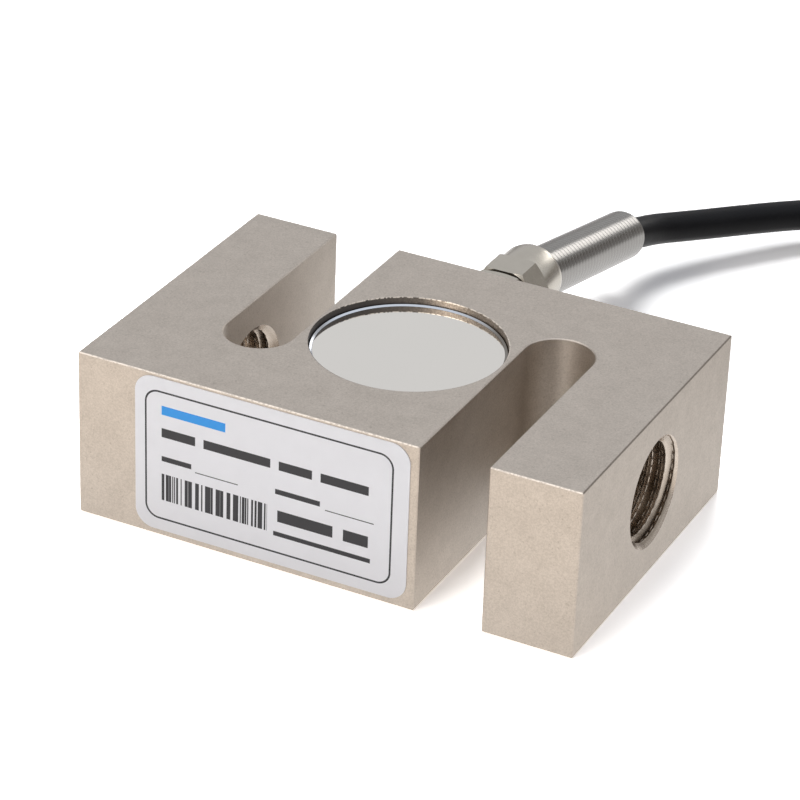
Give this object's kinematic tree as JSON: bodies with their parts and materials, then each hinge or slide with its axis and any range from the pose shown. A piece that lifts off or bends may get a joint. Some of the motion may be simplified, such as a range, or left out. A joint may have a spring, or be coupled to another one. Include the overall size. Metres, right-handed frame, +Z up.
{
  "type": "s type load cell",
  "caption": "S-shaped steel force transducer with threaded load holes in its end legs, sealed round gauge pockets, a side cable gland with spring guard and a tied signal cable.",
  "frame": {"origin": "middle of the S block's underside, as the cell lies flat on the face opposite the visible cover; the gland and the cable are left out of the measure", "axes": "+X along the load axis through both threaded holes, +Y out of the face that carries the cable gland, +Z up through the gauge pockets"},
  "size_m": [0.1541, 0.1515, 0.0258],
  "materials": {
    "nickel_plated_steel": "satin nickel plate over machined alloy steel",
    "polished_cover": "polished stainless steel disc",
    "gauge_foil": "amber polyimide backing with metal foil",
    "board_laminate": "green glass-epoxy laminate",
    "enamelled_wire": "enamelled copper wire",
    "core_red": "red insulation",
    "core_black": "black insulation",
    "core_green": "green insulation",
    "core_white": "white insulation",
    "potting_gel": "translucent soft silicone gel",
    "seal_rubber": "black nitrile rubber",
    "nickel_plated_brass": "bright nickel plate over turned brass",
    "spring_steel": "drawn stainless spring wire",
    "cable_jacket": "black jacket, slightly satin",
    "tie_nylon": "black nylon",
    "tinned_copper": "tinned strands",
    "label_film": "white film label with a fine dark border"
  },
  "bodies": {
    "root": {"s_body": "nickel_plated_steel", "top_cover": "polished_cover", "bottom_cover": "polished_cover", "top_gauge_left": "gauge_foil", "bottom_gauge_left": "gauge_foil", "top_gauge_right": "gauge_foil", "bottom_gauge_right": "gauge_foil", "terminal_board": "board_laminate", "gauge_wires": "enamelled_wire", "jumper_wires": "enamelled_wire", "inner_core_red": "core_red", "outer_core_red": "core_red", "inner_core_black": "core_black", "outer_core_black": "core_black", "inner_core_green": "core_green", "outer_core_green": "core_green", "inner_core_white": "core_white", "outer_core_white": "core_white", "top_potting": "potting_gel", "bottom_potting": "potting_gel", "gland_seal": "seal_rubber", "seal_bush": "seal_rubber", "gland_body": "nickel_plated_brass", "clamp_washer": "nickel_plated_brass", "gland_nut": "nickel_plated_brass", "relief_spring": "spring_steel", "cable": "cable_jacket", "cable_coil": "cable_jacket", "cable_tail": "cable_jacket", "coil_tie": "tie_nylon", "core_tips": "tinned_copper", "rating_label": "label_film"}
  },
  "joints": []
}
